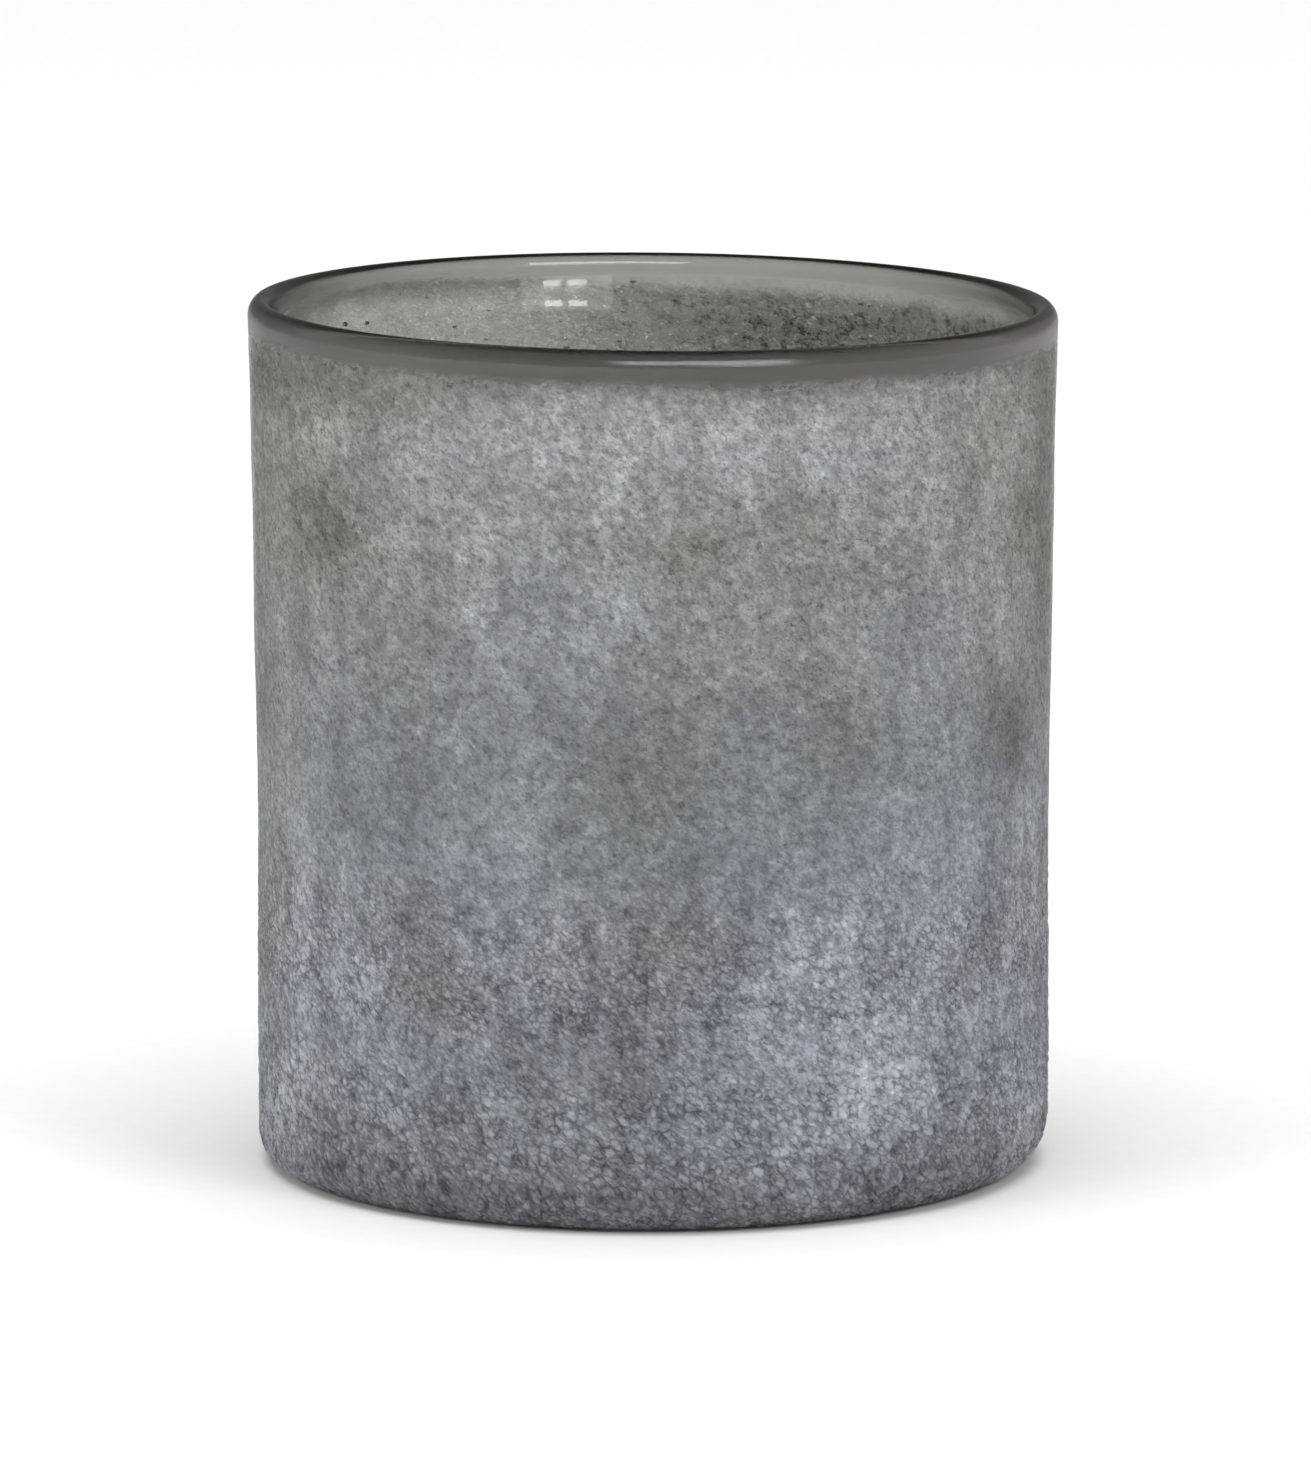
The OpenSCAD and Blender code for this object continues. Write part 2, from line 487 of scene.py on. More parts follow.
def make_glass():
    """The whole blown vessel as one closed skin of glass, with its seeds as hollows inside."""
    theta = np.arange(TURNS_GLASS) * 2 * math.pi / TURNS_GLASS
    profile, lip, crown = glass_profile(theta)
    rows = [turned_points(r * np.ones_like(theta), z, theta) for r, z in profile]
    count = len(rows)
    foot, floor = np.array([[0, 0, PUNT_DEPTH]]), np.array([[0, 0, FLOOR_Z]])
    seeds, seed_quads, seed_triangles = bubbles()
    points = np.concatenate([np.concatenate(rows), foot, floor, seeds])
    first_seed = count * TURNS_GLASS + 2
    caps = np.concatenate([end_caps(count, TURNS_GLASS), first_seed + seed_triangles])
    quads = np.concatenate([grid_faces(count, TURNS_GLASS), first_seed + seed_quads])
    rest = np.zeros(2 + len(seeds))
    lip = np.concatenate([np.repeat(lip, TURNS_GLASS), rest])
    front = np.sin(theta) ** 2  # 1 at the front and the back of the vase, 0 at its sides
    sides = (1 - front) ** 2
    crown = crown[:, None]
    # Painted shade: the crown is darkened at the front and the back, where it shows as a darker line
    painted_crown_shade = CROWN_PAINTED_SHADE * crown * smooth_step(2 * front)
    outer = (np.arange(count) < np.argmax(crown))[:, None]
    # A thin satiny haze on the lip, and painted shade as a darker matte coat on the outer lip at its sides
    satin_and_shade = (SATIN_INNER + outer * (SATIN_FRONT + PAINTED_SHADE_SIDES * sides)) * (1 - SATIN_AND_SHADE_LESS * crown)
    attributes = {
        "lip": lip,
        "painted_crown_shade": np.concatenate([painted_crown_shade.ravel(), rest]),
        "satin_and_shade": lip * np.concatenate([satin_and_shade.ravel(), rest]),
        "haze": lip * np.concatenate([np.repeat(outer.ravel(), TURNS_GLASS), rest]),
    }
    vessel = make_object("glass_vessel", hand_made(points), quads, caps, attributes)
    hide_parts("rim_lip", "glass_wall", "glass_base")
    return vessel


# Soft clouds in the frost: bearing in degrees from the front, height, width and height of each in
# millimetres, and how much lighter (+) or darker (-) it is. Most are the frost's own mottling; the
# light ones low on the heel at either side are painted light where the floor shades the heel, and the
# light ones high on the far left and the darker ones high on the far right are painted light and shade
# on the inside of the back wall, seen through the mouth.
CLOUDS_AND_PAINTED_LIGHT = [
    (-52, 136, 9, 8, -0.75), (-64, 140, 12, 14, -0.35), (-34, 156, 14, 7, 0.05), (-14, 154, 16, 6, 0.2),
    (-72, 161, 12, 5, -0.5), (-50, 164, 16, 5, -0.45), (8, 160, 36, 7, 0.3), (16, 168, 20, 3, -0.3),
    (56, 162, 12, 5, -0.1), (30, 156, 16, 7, 0.25), (5, 135, 14, 6, -0.3), (19, 142, 9, 5, -0.25),
    (0, 146, 8, 7, 0.15), (27, 130, 11, 7, -0.3), (65, 136, 6, 7, -0.6), (-78, 138, 7, 30, -0.35),
    (76, 142, 9, 28, -0.7), (52, 146, 10, 10, -0.15), (63, 95, 7, 9, -0.7), (63, 114, 5, 8, 0.2),
    (0, 112, 11, 10, -0.2), (-18, 119, 12, 9, 0.4), (-38, 98, 9, 14, -0.1), (-7, 92, 13, 11, -0.1),
    (2, 84, 12, 14, -0.3), (25, 100, 10, 9, -0.2), (46, 103, 8, 9, 0.05), (-60, 80, 5, 24, 0.1),
    (-50, 46, 9, 8, 0.25), (-46, 60, 8, 10, 0.15), (-62, 50, 8, 16, 0.4), (2, 58, 9, 14, -0.3),
    (-33, 44, 12, 7, -0.25), (-40, 31, 9, 8, 0.45), (-18, 66, 8, 9, 0.1), (27, 70, 9, 12, 0.3),
    (50, 64, 8, 14, 0.3), (33, 36, 12, 13, 0.65), (17, 47, 8, 12, 0.35), (32, 20, 12, 12, 0.45),
    (38, 52, 8, 10, 0.25), (-5, 29, 20, 8, -0.05), (58, 42, 8, 12, 0.05), (-70, 18, 14, 20, 0.5),
    (70, 16, 14, 20, 0.45), (-76, 5, 18, 8, 0.6), (76, 5, 18, 8, 0.6), (110, 120, 26, 18, -0.35),
    (150, 70, 24, 20, 0.3), (195, 120, 30, 14, -0.3), (225, 60, 22, 22, -0.25), (150, 158, 40, 9, -0.45),
    (112, 156, 22, 9, -0.6), (205, 159, 28, 15, 1.0), (240, 158, 24, 15, 0.9), (260, 100, 14, 20, -0.25),
    (130, 40, 24, 12, -0.2),
]


def clouds_and_painted_light_at(theta, z):
    """Sum of the soft clouds at each point, with their painted light and shade."""
    total = np.zeros(np.broadcast(theta, z).shape)
    for bearing, height, wide, tall, strength in CLOUDS_AND_PAINTED_LIGHT:
        centre = math.radians(bearing - 90)
        across = np.angle(np.exp(1j * (theta - centre))) * BODY_R / (wide * MM)
        up = (z - height * MM) / (tall * MM)
        total += strength * np.exp(-(across ** 2 + up ** 2) / 1.4)
    return total


def skin_shell(name, rows, cad_node):
    """A closed thin shell of frost from rows of (radius, height, normal r, normal z, run)."""
    theta = np.arange(TURNS_SKIN) * 2 * math.pi / TURNS_SKIN
    spread_rows = [[np.broadcast_to(v, theta.shape) for v in row(theta)] for row in rows]
    r, z, nr, nz, run = [np.array([row[i] for row in spread_rows]) for i in range(5)]
    around = np.broadcast_to(theta, r.shape)
    wrap = turned_points(np.full(r.shape, BODY_R), run, around)
    height = sampled(wrap.reshape(-1, 3), relief).reshape(r.shape)
    cover = frost_cover(around, z)
    foot_fade = np.clip(z / (1.5 * MM), 0, 1)
    outside = SKIN_EDGE + (height - 0.25 * MM) * cover * foot_fade
    inside = -SKIN * cover + SKIN_GAP
    outer = turned_points(r + nr * outside, np.maximum(z + nz * outside, 0.02 * MM), around)
    count = len(rows)
    picks = np.unique(np.concatenate([[0], np.arange(4, count - 1, 8), np.arange(count - 8, count)]))
    inner = turned_points(r + nr * inside, z + nz * inside, around)[picks]
    inner_count = len(picks)
    points = np.concatenate([outer.reshape(-1, 3), inner[::-1].reshape(-1, 3)])
    total = count + inner_count
    quads = grid_faces(total, TURNS_SKIN)
    close = np.arange(TURNS_SKIN)
    nxt = (close + 1) % TURNS_SKIN
    top = (total - 1) * TURNS_SKIN
    quads = np.concatenate([quads, np.stack([top + close, top + nxt, nxt, close], axis=-1)])
    edges = np.concatenate([(count - 1) * TURNS_SKIN + close, top + close])
    all_wrap = np.concatenate([wrap.reshape(-1, 3), wrap[picks][::-1].reshape(-1, 3)])
    below = (frost_line(around) - z) / MM
    all_below = np.concatenate([below.ravel(), below[picks][::-1].ravel()])
    # Mottling, with painted light and shade in some of the clouds
    cloud_and_light = clouds_and_painted_light_at(around, z)
    all_cloud_and_light = np.concatenate([cloud_and_light.ravel(), cloud_and_light[picks][::-1].ravel()])
    side = np.concatenate([np.ones(count * TURNS_SKIN), np.zeros(inner_count * TURNS_SKIN)])
    attributes = {"wrap": all_wrap, "below": all_below, "cloud_and_light": all_cloud_and_light, "side": side}
    shell = make_object(name, hand_made(points), quads, attributes=attributes, flat=edges)
    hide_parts(cad_node)
    return shell


def make_frost():
    """Fine frost on the wall, from the crackled zone up to the frost line."""
    def row(t):
        def at(theta):
            return outer_wall(theta, CRACKLE_TOP + t * (frost_line(theta) - CRACKLE_TOP))
        return at
    return skin_shell("frost_skin", [row(t) for t in np.linspace(0, 1, 124)], "frost_skin")


def make_crackle():
    """Coarse crackled frost round the heel and foot."""
    def heel(turn):
        return lambda theta: outer_heel(theta, turn)

    def wall(t):
        def at(theta):
            low = heel_radius(theta)
            return outer_wall(theta, low + t * (CRACKLE_TOP - low))
        return at
    rows = [heel(turn) for turn in np.linspace(-HEEL_END, 0, 34)[:-1]]
    rows += [wall(t) for t in np.linspace(0, 1, 84)]
    return skin_shell("crackle_skin", rows, "crackle_skin")


def make_pontil():
    """Ground and polished scar, a shallow lens with a soft edge and grinding rings."""
    turns = 96
    theta = np.arange(turns) * 2 * math.pi / turns
    top = PUNT_DEPTH - 0.05 * MM
    rows = []
    for t in np.linspace(0.05, 0.9, 12):
        rings = 0.02 * MM * math.sin(t * 55)
        rows.append((PONTIL_R * t, PONTIL_LOW + 0.12 * MM * (1 - t * t) + rings))
    for angle in np.linspace(0, math.pi / 2, 7):
        r = PONTIL_R * (0.93 + 0.07 * math.sin(angle))
        rows.append((r, PONTIL_LOW + 0.5 * MM * (1 - math.cos(angle))))
    rows.append((PONTIL_R, top))
    for t in np.linspace(0.9, 0.05, 6):
        rows.append((PONTIL_R * t, top))
    uneven = 1 + 0.03 * np.sin(3 * theta + 1) + 0.02 * np.sin(7 * theta)
    points = [turned_points(r * uneven, z, theta) for r, z in rows]
    points = np.concatenate(points + [np.array([[0, 0, PONTIL_LOW + 0.12 * MM], [0, 0, top]])])
    quads = grid_faces(len(rows), turns)
    mark = make_object("pontil_mark", points, quads, end_caps(len(rows), turns))
    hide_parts("pontil_mark")
    return mark


# ---------------------------------------------------------------- materials
# Glass: colours of its surface, and what its depth takes away
WALL_TINT = (0.64, 0.65, 0.63, 1)
LIP_TINT = (0.43, 0.43, 0.408, 1)
# Painted shade on the crown of the lip
CROWN_SHADE_TINT = (0.06, 0.055, 0.05, 1)
# A satiny coat on the lip, which at the lip's sides is painted shade
SATIN_AND_SHADE_TINT = (0.13, 0.122, 0.115, 1)
SMOKE = (0.20, 0.13, 0.02, 1)
SMOKE_DENSITY = 40.0
LIP_HAZE = 0.12

# Frost: how strongly each pattern shows, and its colours
FROST_ALBEDO = 1.52
GRAIN_CONTRAST = 0.96
SPECK_CONTRAST = 0.30
BLOTCH_CONTRAST = 0.30
STREAK_CONTRAST = 0.20
CLOUD_AND_LIGHT_STRENGTH = 0.55
# How far the cracks are darkened and the grains lightened: partly painted shade and light
CRACK_AND_SHADE_DEPTH = 1.15
CRACK_AND_SHADE_MEAN = 0.43
PIT_DEPTH = 0.10
INNER_WHITE = 0.96
INNER_CONTRAST = 2.6
BUMP_GRAIN = 0.28
BUMP_SPECKS = 0.12
BUMP_CELLS = 1.8
BUMP_PITS = 0.15
# The inner face's patterns are mirrored and lie flatter than the outer one's
INNER_SCALE = (-1, 1, 1.6)
OLIVE = (1.02, 1.02, 0.93, 1)
BLUISH = (0.97, 0.99, 1.07, 1)
SHEEN_TINT = (0.78, 0.72, 0.70, 1)
THROUGH_TINT = (0.88, 0.89, 0.87, 1)

# Colour of the frost from the foot to the lip, as height over the whole height and sRGB values: partly its
# own tone, partly painted light and shade by height, darkest at the foot
FROST_TONE_AND_PAINTED_SHADE = [
    (0.00, (92, 93, 98)), (0.06, (116, 118, 124)), (0.12, (128, 131, 139)), (0.20, (136, 139, 148)),
    (0.30, (136, 138, 145)), (0.42, (133, 137, 145)), (0.52, (125, 129, 134)), (0.66, (135, 138, 140)),
    (0.78, (147, 150, 149)), (0.88, (146, 148, 147)), (0.93, (134, 136, 132)), (0.97, (116, 117, 111)),
]


def new_material(name):
    """An empty node material and its tree."""
    material = bpy.data.materials.new(name)
    material.use_nodes = True
    material.node_tree.nodes.clear()
    return material, material.node_tree


def glass_material():
    """Smoky glass: polished, grey in its depth and a little satiny on the lip, with painted shade on its
    crown and on the sides of its lip.
    """
    material, tree = new_material("smoky_glass")
    place = add(tree, "ShaderNodeTexCoord").outputs["Object"]
    ripple = clouding(tree, scaled(tree, place, 1, 1, 0.4), 22 * MM, 1.0)
    smear = clouding(tree, place, 6 * MM, 3.0)
    bump = add(tree, "ShaderNodeBump", {"Height": ripple, "Strength": 0.25, "Distance": 0.6 * MM})
    haze = times(tree, read(tree, "haze"), LIP_HAZE)
    rough = plus(tree, spread(tree, smear, 0.35, 0.8, 0.03, 0.08), haze)
    # Painted shade on the crown darkens the glass's colour there
    painted_crown_shade = read(tree, "painted_crown_shade")
    tint_and_painted_light = blend_colours(tree, painted_crown_shade, blend_colours(tree, read(tree, "lip"), WALL_TINT, LIP_TINT), CROWN_SHADE_TINT)
    glass = add(tree, "ShaderNodeBsdfPrincipled", {
        "Base Color": tint_and_painted_light, "Roughness": rough, "IOR": 1.5,
        "Transmission Weight": 1.0, "Normal": bump.outputs[0]})
    # Satiny coat, and at the lip's sides painted shade as a darker matte coat
    satin_and_shade = add(tree, "ShaderNodeBsdfPrincipled", {
        "Base Color": blend_colours(tree, painted_crown_shade, SATIN_AND_SHADE_TINT, CROWN_SHADE_TINT), "Roughness": 0.4, "IOR": 1.5,
        "Specular IOR Level": 0.1})
    surface = add(tree, "ShaderNodeMixShader", {
        0: read(tree, "satin_and_shade"), 1: glass.outputs[0], 2: satin_and_shade.outputs[0]})
    depth = add(tree, "ShaderNodeVolumeAbsorption", {"Color": SMOKE, "Density": SMOKE_DENSITY})
    add(tree, "ShaderNodeOutputMaterial", {0: surface.outputs[0], 1: depth.outputs[0]})
    return material


def linear(rgb):
    """sRGB numbers from 0 to 255 as a linear colour."""
    parts = [c / 255 for c in rgb]
    return tuple(c / 12.92 if c <= 0.04045 else ((c + 0.055) / 1.055) ** 2.4 for c in parts) + (1.0,)


def frost_tone_and_painted_shade(tree, z):
    """Colour of the frost at height z: its own tone with painted light and shade, darkest at the foot."""
    ramp = add(tree, "ShaderNodeValToRGB", {0: maths(tree, "DIVIDE", z, HEIGHT)})
    stops = ramp.color_ramp.elements
    while len(stops) > 1:
        stops.remove(stops[-1])
    for i, (place, rgb) in enumerate(FROST_TONE_AND_PAINTED_SHADE):
        stop = stops[0] if i == 0 else stops.new(place)
        stop.position = place
        stop.color = linear(rgb)
    return ramp.outputs[0]


def frost_patterns(tree, wrap):
    """The patterns that shade and roughen the frost, by name, each from 0 to 1."""
    leaning = scaled(tree, twisted(tree, wrap, 15.0), 1, 1, 0.8)
    return {
        "grain": leaning_grain(tree, wrap),
        "specks": clouding(tree, leaning, 0.75 * MM, 2.0, 0.6),
        "blotches": clouding(tree, scaled(tree, wrap, 1, 1, 0.8), 14 * MM, 4.0, 0.6, 0.3),
        "streaks": clouding(tree, scaled(tree, wrap, 1, 1, 0.14), 7 * MM, 3.0, 0.6),
        "cells": crackle(tree, wrap),
        "thin": pits(tree, wrap),
    }


def frost_texture(tree, wrap, z, coarse, pattern):
    """The fine part of how light the frost is, a factor that varies about 1."""
    fine = spread(tree, z, 20 * MM, 60 * MM, 0.54, 0.84)
    fine = plus(tree, fine, spread(tree, z, 105 * MM, 135 * MM, 0.0, 0.07))
    grain = around_one(tree, spread(tree, pattern["grain"], 0.2, 0.8), GRAIN_CONTRAST)
    grain = plus(tree, 1.0, times(tree, maths(tree, "SUBTRACT", grain, 1.0), fine))

    speck = maths(tree, "SUBTRACT", spread(tree, pattern["specks"], 0.3, 0.7), 0.5)
    speck = times(tree, speck, spread(tree, z, 30 * MM, 90 * MM, 0.95, 0.5))
    speck = plus(tree, 1.0, times(tree, speck, SPECK_CONTRAST))

    # Darker in the cracks and lighter on the grains: partly the crackle's own colour, partly painted shade
    # in the grooves and painted light on the raised grains
    broken = spread(tree, clouding(tree, wrap, 4 * MM, 3.0, 0.6), 0.3, 0.65, 0.55, 1.0)
    crack_and_shade = times(tree, maths(tree, "SUBTRACT", 1.0, pattern["cells"]), broken)
    crack_and_shade = times(tree, maths(tree, "SUBTRACT", CRACK_AND_SHADE_MEAN, crack_and_shade), coarse)
    crack_and_shade = plus(tree, 1.0, times(tree, crack_and_shade, CRACK_AND_SHADE_DEPTH))

    pitted = maths(tree, "SUBTRACT", 1.06, times(tree, pattern["thin"], PIT_DEPTH))
    return times(tree, grain, speck, crack_and_shade, pitted)


def frost_colours(tree, wrap, across, z, side, cloud_and_light, texture, pattern):
    """Colours of the light that the frost throws back and of the light that it lets through.

    The inner face, which is seen through the glass, is whiter than the outer one.
    """
    blotches = pattern["blotches"]
    blotch = around_one(tree, spread(tree, blotches, 0.25, 0.75), BLOTCH_CONTRAST)
    streak = around_one(tree, spread(tree, pattern["streaks"], 0.25, 0.75), STREAK_CONTRAST)
    # The clouds lighten and darken the frost, some of them as painted light and shade
    patchy_cloud_and_light = times(tree, cloud_and_light, spread(tree, blotches, 0.2, 0.8, 0.5, 1.3))
    clouded_and_lit = plus(tree, 1.0, times(tree, patchy_cloud_and_light, CLOUD_AND_LIGHT_STRENGTH))
    grey = grey_of(tree, times(tree, texture, blotch, streak, clouded_and_lit))
    white = times(tree, maths(tree, "SUBTRACT", texture, 1.0), INNER_CONTRAST)
    inner = grey_of(tree, maths(tree, "ADD", times(tree, clouded_and_lit, INNER_WHITE), white, clamp=True))

    # The frost's own tone by height, with painted light and shade, darkest at the foot
    colour = blend_colours(tree, 1.0, frost_tone_and_painted_shade(tree, z), grey, "MULTIPLY")
    # Hue: the clouds, some of them painted light, turn the frost bluish where they lighten it, and painted
    # light colour makes it more olive towards its left edge
    tint_and_painted_light = plus(tree, cloud_and_light, times(tree, clouding(tree, wrap, 26 * MM, 3.0, 0.6), 1.3))
    tint_and_painted_light = plus(tree, tint_and_painted_light, spread(tree, across, -80 * MM, -60 * MM, -0.5, 0.0))
    hue = blend_colours(tree, spread(tree, tint_and_painted_light, 0.15, 0.95), OLIVE, BLUISH)
    colour = blend_colours(tree, 1.0, colour, hue, "MULTIPLY")
    colour = blend_colours(tree, 1.0, colour, (FROST_ALBEDO, FROST_ALBEDO, FROST_ALBEDO, 1), "MULTIPLY")
    through = blend_colours(tree, 1.0, grey, THROUGH_TINT, "MULTIPLY")
    return blend_colours(tree, side, inner, colour), blend_colours(tree, side, inner, through)


def frost_bump(tree, coarse, pattern):
    """Fine unevenness of the frost, too small for the mesh."""
    grain = times(tree, pattern["grain"], BUMP_GRAIN)
    specks = times(tree, pattern["specks"], BUMP_SPECKS)
    height = plus(tree, grain, plus(tree, specks, times(tree, pattern["cells"], coarse, BUMP_CELLS)))
    height = maths(tree, "SUBTRACT", height, times(tree, pattern["thin"], BUMP_PITS))
    return add(tree, "ShaderNodeBump", {"Height": height, "Strength": 0.6, "Distance": 1.0 * MM}).outputs[0]


def frost_solid(tree, wrap, z, across, far, cloud_and_light, thin):
    """1 where the frost is whole, less in its pits and towards its ragged upper edge."""
    wander = times(tree, clouding(tree, wrap, 9 * MM, 3.0, 0.6), 3.0)
    depth = maths(tree, "SUBTRACT", plus(tree, read(tree, "below"), 1.5), wander)
    # On the far side the frost fades in soon on the left, and over a longer way on the right
    behind = spread(tree, across, -35 * MM, 25 * MM, 0.45, 1.4)
    depth = maths(tree, "DIVIDE", depth, spread(tree, far, 0, 60 * MM, 1.0, behind))
    rise = times(tree, spread(tree, depth, -1.0, 6.5), 1.5)
    speckle = times(tree, clouding(tree, wrap, 1.1 * MM, 3.0, 0.7), 0.5)
    solid = spread(tree, maths(tree, "SUBTRACT", rise, speckle), -0.35, 0.85)

    veil = plus(tree, 0.15, times(tree, thin, 0.85))
    veil = times(tree, veil, spread(tree, z, 30 * MM, 120 * MM, 0.12, 0.58))
    # Lighter clouds on the far side, some of them painted light, let more light through the frost
    bare = times(tree, maths(tree, "MAXIMUM", cloud_and_light, 0.0), spread(tree, far, 0, 60 * MM, 0.0, 0.3))
    veil = maths(tree, "ADD", veil, bare, clamp=True)
    return times(tree, solid, maths(tree, "SUBTRACT", 1.0, veil))


def frost_material(name):
    """Fused frost: grainy, mottled and crackled, letting some light through."""
    material, tree = new_material(name)
    wrap = read(tree, "wrap", "Vector")
    across, far, z = axes(tree, wrap)
    cloud_and_light = read(tree, "cloud_and_light")
    side = read(tree, "side")
    scale = add(tree, "ShaderNodeMix", {0: side, 4: INNER_SCALE, 5: (1, 1, 1)}, data_type="VECTOR")
    factors = {0: wrap, 1: scale.outputs[1]}
    wrap = add(tree, "ShaderNodeVectorMath", factors, operation="MULTIPLY").outputs[0]

    pattern = frost_patterns(tree, wrap)
    coarse = spread(tree, z, 90 * MM, 40 * MM, 0.35, 1.0)
    texture = frost_texture(tree, wrap, z, coarse, pattern)
    colour, let_through = frost_colours(tree, wrap, across, z, side, cloud_and_light, texture, pattern)
    normal = frost_bump(tree, coarse, pattern)

    frost = add(tree, "ShaderNodeBsdfPrincipled", {
        "Base Color": colour, "Roughness": spread(tree, pattern["grain"], 0.2, 0.8, 0.85, 0.55),
        "IOR": 1.45, "Specular IOR Level": 0.25,
        "Sheen Weight": 0.30, "Sheen Roughness": 0.3, "Sheen Tint": SHEEN_TINT,
        "Normal": normal})
    glow = add(tree, "ShaderNodeBsdfTranslucent", {"Color": let_through, "Normal": normal})
    through = spread(tree, side, 0.0, 1.0, 0.6, 0.5)
    body = add(tree, "ShaderNodeMixShader", {0: through, 1: frost.outputs[0], 2: glow.outputs[0]})
    clear = add(tree, "ShaderNodeBsdfTransparent")
    solid = frost_solid(tree, wrap, z, across, far, cloud_and_light, pattern["thin"])
    shown = add(tree, "ShaderNodeMixShader", {0: solid, 1: clear.outputs[0], 2: body.outputs[0]})
    add(tree, "ShaderNodeOutputMaterial", {0: shown.outputs[0]})
    return material


def pontil_material():
    """Ground glass, polished in rings."""
    material, tree = new_material("polished_pontil")
    place = add(tree, "ShaderNodeTexCoord").outputs["Object"]
    rings = add(tree, "ShaderNodeTexWave", {"Vector": place, "Scale": 900.0, "Distortion": 1.5},
                wave_type="RINGS", rings_direction="Z")
    dust = clouding(tree, place, 1.2 * MM, 3.0)
    bump = add(tree, "ShaderNodeBump", {
        "Height": rings.outputs["Fac"], "Strength": 0.2, "Distance": 0.1 * MM})
    colour = blend_colours(tree, spread(tree, dust, 0.3, 0.7), (0.30, 0.31, 0.30, 1), (0.42, 0.43, 0.42, 1))
    glass = add(tree, "ShaderNodeBsdfPrincipled", {
        "Base Color": colour, "Roughness": spread(tree, dust, 0.3, 0.7, 0.12, 0.3), "IOR": 1.5,
        "Transmission Weight": 0.7, "Normal": bump.outputs[0]})
    add(tree, "ShaderNodeOutputMaterial", {0: glass.outputs[0]})
    return material


def floor_material():
    """Plain pale paper."""
    material, tree = new_material("studio_paper")
    place = add(tree, "ShaderNodeTexCoord").outputs["Object"]
    fibre = clouding(tree, place, 4 * MM, 4.0)
    colour = blend_colours(tree, spread(tree, fibre, 0.2, 0.8), (0.80, 0.80, 0.80, 1), (0.82, 0.82, 0.82, 1))
    paper = add(tree, "ShaderNodeBsdfPrincipled", {
        "Base Color": colour, "Roughness": 0.9, "Specular IOR Level": 0.1})
    add(tree, "ShaderNodeOutputMaterial", {0: paper.outputs[0]})
    return material


# ---------------------------------------------------------------- stage, lights and camera
# Each light: its name, where it stands, its width and height in metres, and its power in watts
SOFT_LIGHTS = [
    ("left_soft", (-2.4, -1.6, 1.6), (1.5, 1.4), 30),
    ("right_soft", (2.0, -2.0, 2.1), (1.3, 1.2), 38),
]
WINDOW_LIGHTS = [
    ("window", (0.72, -2.5, 1.46), (2.5, 0.95), 50),
    ("window_glow", (1.25, -2.35, 0.80), (1.4, 0.8), 6.0),
]
# The two panes of the window that show on the back wall, on either side of a bar
PANES_PLACE = (1.25, -2.33, 0.64)
PANES_ALONG = (0.88, 0.47)
PANES_APART = 0.184
PANE_SIZE = (0.27, 0.17)
PANE_POWER = 1.3
PAPER_SUN = 3.0
AIM_POINT = (0, 0, 0.09)
FLOOR_REACH = 12.0


def make_floor():
    """A wide pale floor."""
    mesh = bpy.data.meshes.new("floor")
    corners = [(-1, -1), (1, -1), (1, 1), (-1, 1)]
    mesh.from_pydata([(x * FLOOR_REACH, y * FLOOR_REACH, 0) for x, y in corners], [], [(0, 1, 2, 3)])
    floor = bpy.data.objects.new("floor", mesh)
    bpy.context.scene.collection.objects.link(floor)
    mesh.materials.append(floor_material())
    return floor


def aim(item, target):
    """Turns a light or camera to face a point."""
    direction = Vector(target) - item.location
    item.rotation_euler = direction.to_track_quat("-Z", "Y").to_euler()


def make_light(name, place, size, power, receivers=None):
    """A rectangular soft light facing the vase, which may light only some of the pieces."""
    data = bpy.data.lights.new(name, "AREA")
    data.shape = "RECTANGLE"
    data.size, data.size_y = size
    data.energy = power
    light = bpy.data.objects.new(name, data)
    light.location = place
    bpy.context.scene.collection.objects.link(light)
    aim(light, AIM_POINT)
    if receivers:
        light_only(light, receivers)
    return light


def light_only(light, receivers):
    """Keeps a light to the objects given."""
    lit = bpy.data.collections.new(light.name + "_receivers")
    for receiver in receivers:
        lit.objects.link(receiver)
    light.light_linking.receiver_collection = lit


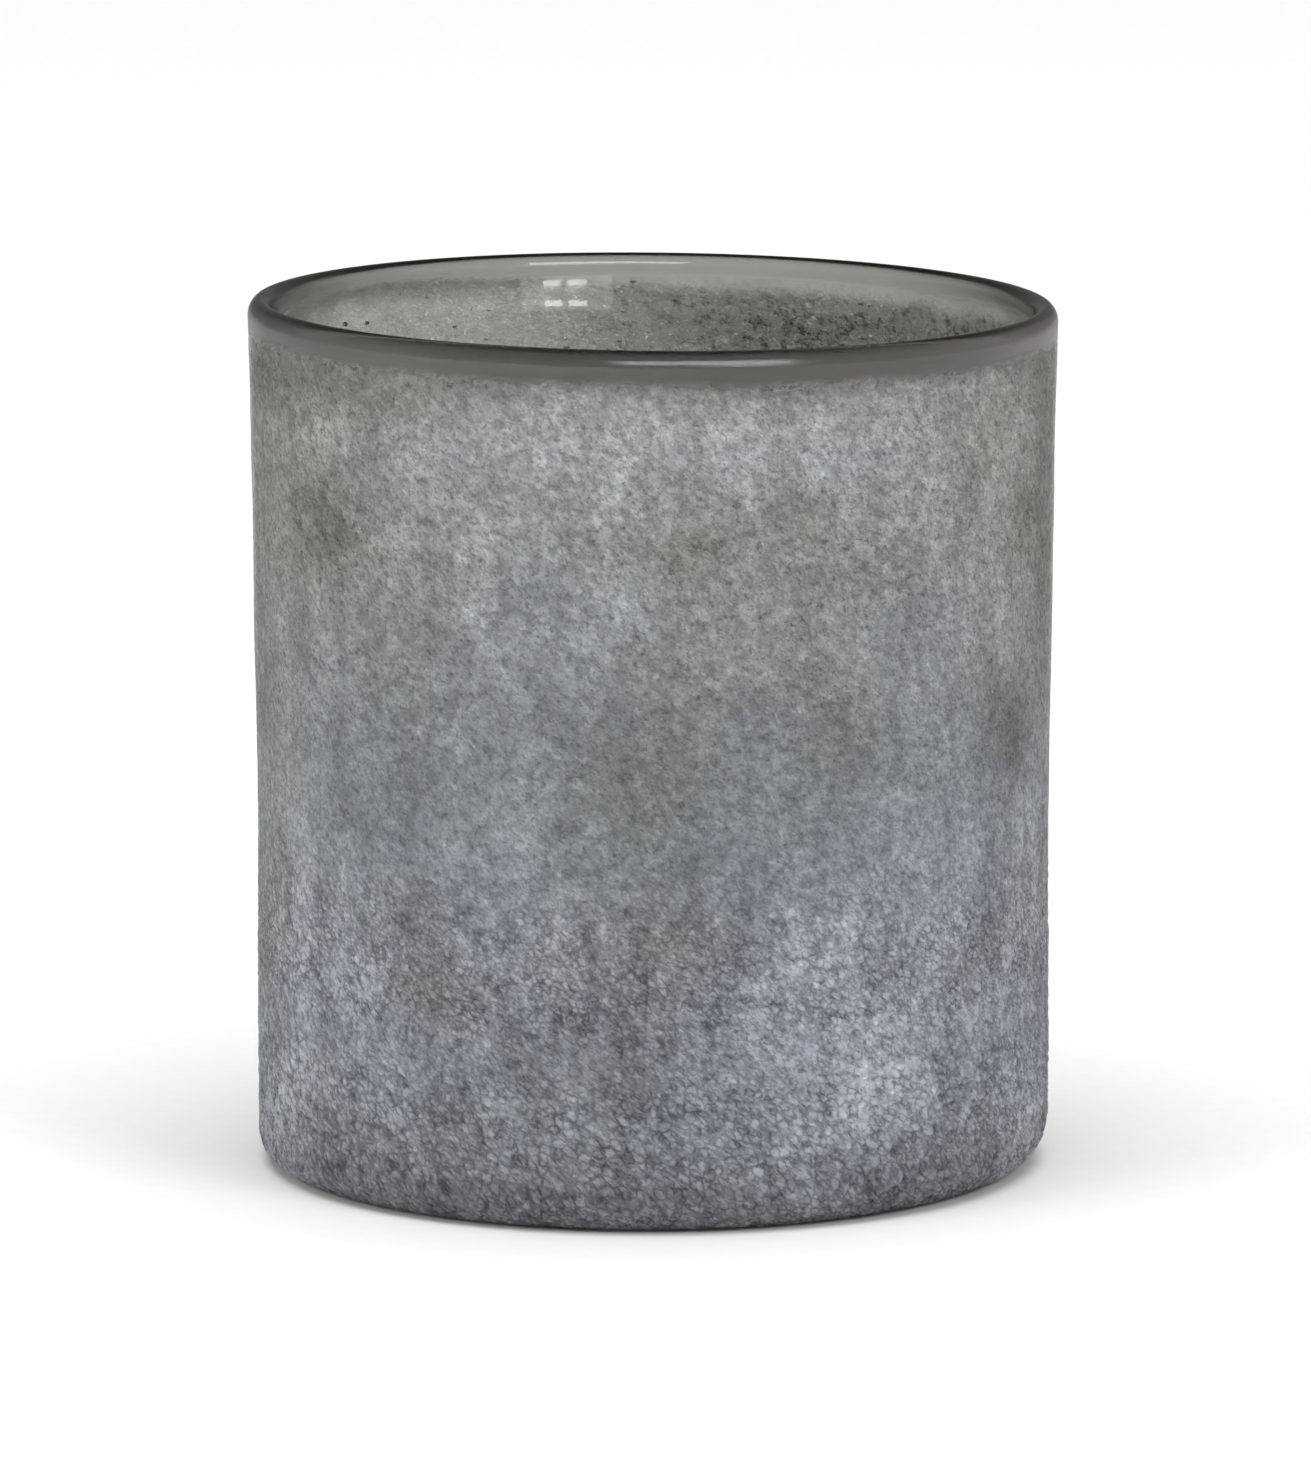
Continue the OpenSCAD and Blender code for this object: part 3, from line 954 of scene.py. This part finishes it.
def make_world():
    """Soft grey room light."""
    world = bpy.data.worlds.new("studio")
    world.use_nodes = True
    tree = world.node_tree
    tree.nodes.clear()
    direction = add(tree, "ShaderNodeTexCoord").outputs["Generated"]
    x, y, z = axes(tree, direction)
    level = spread(tree, z, 0.25, 0.8, 0.50, 0.12)
    sides = plus(tree, 0.8, times(tree, x, x, 0.5))
    behind = spread(tree, y, 0.3, 0.8, 1.0, 0.45)
    level = times(tree, level, sides, behind)
    sky = add(tree, "ShaderNodeBackground", {0: (1.0, 0.995, 0.99, 1), 1: level})
    add(tree, "ShaderNodeOutputWorld", {0: sky.outputs[0]})
    bpy.context.scene.world = world


def make_lights(floor, vessel, frosted):
    """Soft lights on the frost and the floor, a window that only the glass mirrors, a sun for the paper."""
    for name, place, size, power in SOFT_LIGHTS:
        make_light(name, place, size, power, frosted + [floor])
    for name, place, size, power in WINDOW_LIGHTS:
        make_light(name, place, size, power, [vessel])
    x, y, z = PANES_PLACE
    for across in (-PANES_APART, PANES_APART):
        place = (x + PANES_ALONG[0] * across, y + PANES_ALONG[1] * across, z)
        make_light("window_pane", place, PANE_SIZE, PANE_POWER, [vessel])
    paper = bpy.data.lights.new("paper_light", "SUN")
    paper.energy = PAPER_SUN
    paper.angle = math.radians(60)
    sun = bpy.data.objects.new("paper_light", paper)
    bpy.context.scene.collection.objects.link(sun)
    light_only(sun, [floor])


def make_camera():
    """The camera, at the height and distance that the outline's perspective gives."""
    data = bpy.data.cameras.new("camera")
    data.lens = 252.3
    data.sensor_width = 36
    camera = bpy.data.objects.new("camera", data)
    camera.location = (0.0002, -2.0675, 0.4347)
    camera.rotation_euler = (math.pi / 2 - 0.1677, 0.0004, -0.0002)
    bpy.context.scene.collection.objects.link(camera)
    bpy.context.scene.camera = camera
    return camera


def dress(piece, material):
    """Gives a piece its one material."""
    piece.data.materials.clear()
    piece.data.materials.append(material)
    return piece


bpy.context.scene.view_settings.view_transform = "Standard"
make_camera()
make_world()
vessel = dress(make_glass(), glass_material())
frost = dress(make_frost(), frost_material("frosted_skin"))
crackled = dress(make_crackle(), frost_material("crackled_skin"))
dress(make_pontil(), pontil_material())
make_lights(make_floor(), vessel, [frost, crackled])
